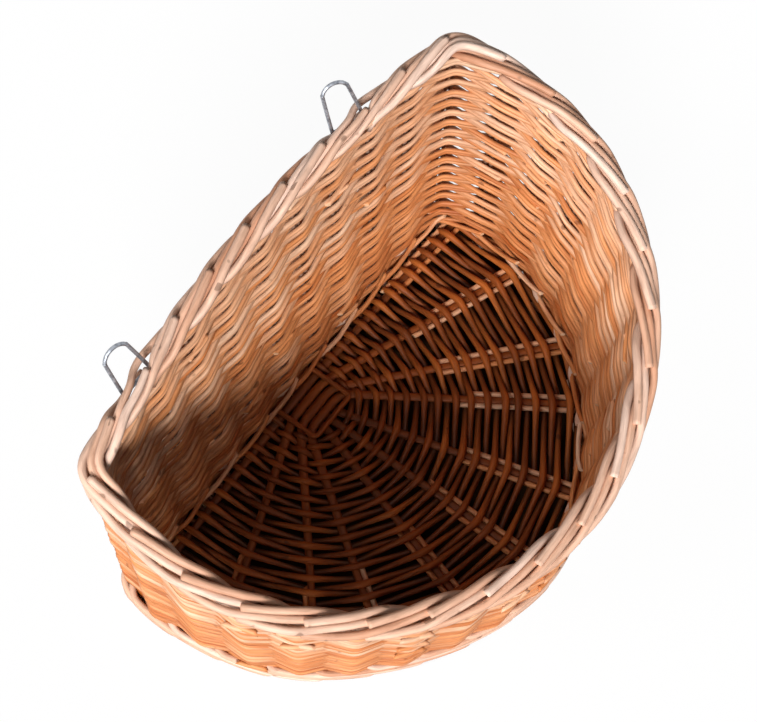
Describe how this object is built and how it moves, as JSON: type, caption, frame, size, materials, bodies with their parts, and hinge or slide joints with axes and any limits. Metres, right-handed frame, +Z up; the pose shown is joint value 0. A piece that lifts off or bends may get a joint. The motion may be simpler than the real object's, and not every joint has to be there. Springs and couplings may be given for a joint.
{
  "type": "display basket",
  "caption": "Half-round woven willow display basket with a high flat back, a lower bowed front, a rolled border and wire loops for hanging.",
  "frame": {"origin": "on the floor under the middle of the back, on the flat underside of the lowest foot rod", "axes": "+X to the right along the back seen from the front, +Y back towards the wall, +Z up"},
  "size_m": [0.3987, 0.2797, 0.2941],
  "materials": {
    "pale_willow": "satin",
    "tan_willow": "satin",
    "brown_willow": "matte",
    "galvanised_wire": "satin"
  },
  "bodies": {
    "basket": {"left_corner_upright": "pale_willow", "back_upright_1": "pale_willow", "back_upright_2": "pale_willow", "back_upright_3": "pale_willow", "back_upright_4": "pale_willow", "back_upright_5": "pale_willow", "back_upright_6": "pale_willow", "back_upright_7": "pale_willow", "back_upright_8": "pale_willow", "back_upright_9": "pale_willow", "right_corner_upright": "pale_willow", "front_upright_1": "pale_willow", "front_upright_2": "pale_willow", "front_upright_3": "pale_willow", "front_upright_4": "pale_willow", "front_upright_5": "pale_willow", "front_upright_6": "pale_willow", "front_upright_7": "pale_willow", "front_upright_8": "pale_willow", "front_upright_9": "pale_willow", "front_upright_10": "pale_willow", "front_upright_11": "pale_willow", "front_upright_12": "pale_willow", "front_upright_13": "pale_willow", "front_upright_14": "pale_willow", "front_upright_15": "pale_willow", "front_upright_16": "pale_willow", "front_upright_17": "pale_willow", "front_upright_18": "pale_willow", "side_weaver_1": "tan_willow", "side_weaver_2": "tan_willow", "side_weaver_3": "tan_willow", "side_weaver_4": "tan_willow", "side_weaver_5": "tan_willow", "side_weaver_6": "tan_willow", "side_weaver_7": "tan_willow", "side_weaver_8": "tan_willow", "side_weaver_9": "tan_willow", "side_weaver_10": "tan_willow", "side_weaver_11": "tan_willow", "side_weaver_12": "tan_willow", "side_weaver_13": "tan_willow", "side_weaver_14": "tan_willow", "side_weaver_15": "tan_willow", "foot_rod_1": "pale_willow", "foot_rod_2": "pale_willow", "foot_rod_3": "pale_willow", "base_cross_stick_1": "brown_willow", "base_cross_stick_2": "brown_willow", "base_cross_stick_3": "brown_willow", "base_cross_stick_4": "brown_willow", "base_front_stick_1": "brown_willow", "base_front_stick_2": "brown_willow", "base_front_stick_3": "brown_willow", "base_weaver": "brown_willow"},
    "left_loop": {"left_hanger": "galvanised_wire"},
    "right_loop": {"right_hanger": "galvanised_wire"}
  },
  "joints": [
    {"name": "left_loop_swing", "type": "hinge", "parent": "basket", "child": "left_loop", "pos_m": [-0.11151, 0.00363, 0.26316], "axis": [0.9865, 0.1635, 0], "range_deg": [-45, 25]},
    {"name": "right_loop_swing", "type": "hinge", "parent": "basket", "child": "right_loop", "pos_m": [0.10096, 0.00513, 0.26361], "axis": [0.993, -0.1178, 0], "range_deg": [-45, 25]}
  ]
}
